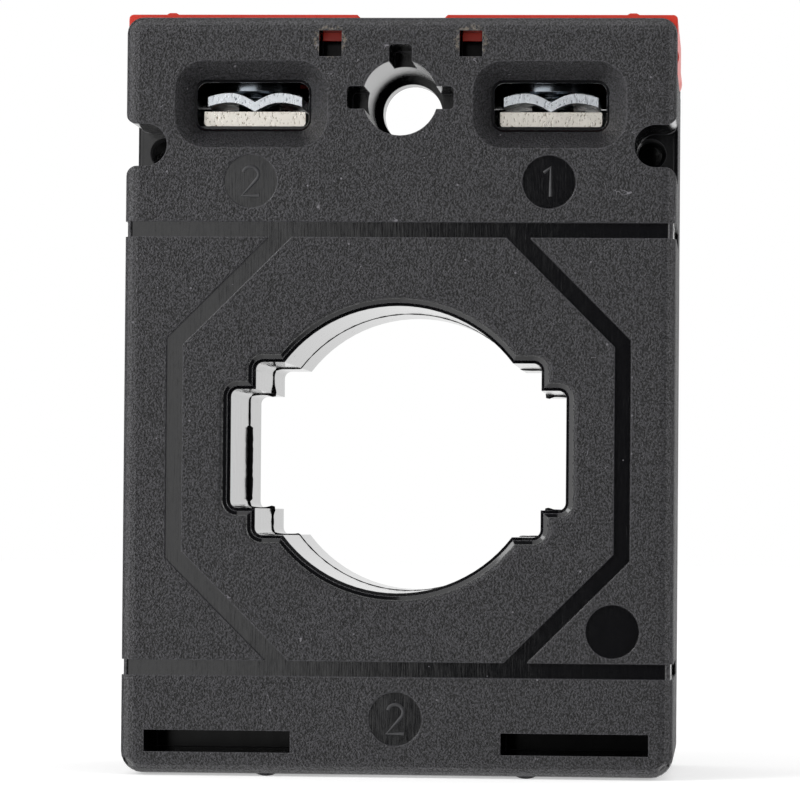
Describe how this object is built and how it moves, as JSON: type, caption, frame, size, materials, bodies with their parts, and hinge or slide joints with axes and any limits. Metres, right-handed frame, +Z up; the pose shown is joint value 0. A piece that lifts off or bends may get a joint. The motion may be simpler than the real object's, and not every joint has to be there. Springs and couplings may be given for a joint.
{
  "type": "window-type current transformer",
  "caption": "Moulded window-type current transformer with a stepped bar window, hinged red terminal covers and captive clamp screws.",
  "frame": {"origin": "middle of the base, under the middle of the case's width and depth", "axes": "+Z up from the base to the terminal covers, -Y out of the rear face, +X to the side of terminal 1"},
  "size_m": [0.0512, 0.0324, 0.0707],
  "materials": {
    "case_black": "moulded, spark-eroded texture, glossy grooves",
    "cover_red": "moulded, satin",
    "nickel_brass": "nickel plated, sheared edges",
    "zinc_steel": "zinc plated",
    "dark_steel": "zinc plated, dark",
    "core_steel": "wound strip",
    "core_case_plastic": "plain",
    "copper_wire": "enamelled copper",
    "tape": "polyester tape",
    "lead_white": "insulated lead"
  },
  "bodies": {
    "case": {"rear_shell": "case_black", "front_shell": "case_black", "core": "core_steel", "core_case": "core_case_plastic", "core_lid": "core_case_plastic", "secondary_winding": "copper_wire", "winding_tape": "tape", "lead_1": "lead_white", "lead_2": "lead_white", "terminal_plate_1": "nickel_brass", "terminal_plate_2": "nickel_brass"},
    "cover_1": {"cover_1": "cover_red"},
    "cover_2": {"cover_2": "cover_red"},
    "saddle_1_rear": {"saddle_1_rear": "zinc_steel"},
    "screw_1_rear": {"screw_1_rear": "dark_steel"},
    "saddle_1_front": {"saddle_1_front": "zinc_steel"},
    "screw_1_front": {"screw_1_front": "dark_steel"},
    "saddle_2_rear": {"saddle_2_rear": "zinc_steel"},
    "screw_2_rear": {"screw_2_rear": "dark_steel"},
    "saddle_2_front": {"saddle_2_front": "zinc_steel"},
    "screw_2_front": {"screw_2_front": "dark_steel"}
  },
  "joints": [
    {"name": "cover_1_hinge", "type": "hinge", "parent": "case", "child": "cover_1", "pos_m": [0.02422, 0, 0.06665], "axis": [0, 1, 0], "range_deg": [0, 95]},
    {"name": "cover_2_hinge", "type": "hinge", "parent": "case", "child": "cover_2", "pos_m": [-0.02422, 0, 0.06665], "axis": [0, -1, 0], "range_deg": [0, 95]},
    {"name": "saddle_1_rear_lift", "type": "slide", "parent": "case", "child": "saddle_1_rear", "axis": [0, 0, 1], "range_m": [0, 0.00175]},
    {"name": "screw_1_rear_turn", "type": "hinge", "parent": "saddle_1_rear", "child": "screw_1_rear", "pos_m": [0.0138, -0.00835, 0.0634], "axis": [0, 0, 1], "range_deg": [0, 900]},
    {"name": "saddle_1_front_lift", "type": "slide", "parent": "case", "child": "saddle_1_front", "axis": [0, 0, 1], "range_m": [0, 0.00175]},
    {"name": "screw_1_front_turn", "type": "hinge", "parent": "saddle_1_front", "child": "screw_1_front", "pos_m": [0.0138, 0.00835, 0.0634], "axis": [0, 0, 1], "range_deg": [0, 900]},
    {"name": "saddle_2_rear_lift", "type": "slide", "parent": "case", "child": "saddle_2_rear", "axis": [0, 0, 1], "range_m": [0, 0.00175]},
    {"name": "screw_2_rear_turn", "type": "hinge", "parent": "saddle_2_rear", "child": "screw_2_rear", "pos_m": [-0.0138, -0.00835, 0.0634], "axis": [0, 0, 1], "range_deg": [0, 900]},
    {"name": "saddle_2_front_lift", "type": "slide", "parent": "case", "child": "saddle_2_front", "axis": [0, 0, 1], "range_m": [0, 0.00175]},
    {"name": "screw_2_front_turn", "type": "hinge", "parent": "saddle_2_front", "child": "screw_2_front", "pos_m": [-0.0138, 0.00835, 0.0634], "axis": [0, 0, 1], "range_deg": [0, 900]}
  ],
  "couplings": [
    {"joint": "screw_1_rear_turn", "follows": "saddle_1_rear_lift", "rad_per_m": 8976},
    {"joint": "screw_1_front_turn", "follows": "saddle_1_front_lift", "rad_per_m": 8976},
    {"joint": "screw_2_rear_turn", "follows": "saddle_2_rear_lift", "rad_per_m": 8976},
    {"joint": "screw_2_front_turn", "follows": "saddle_2_front_lift", "rad_per_m": 8976}
  ]
}
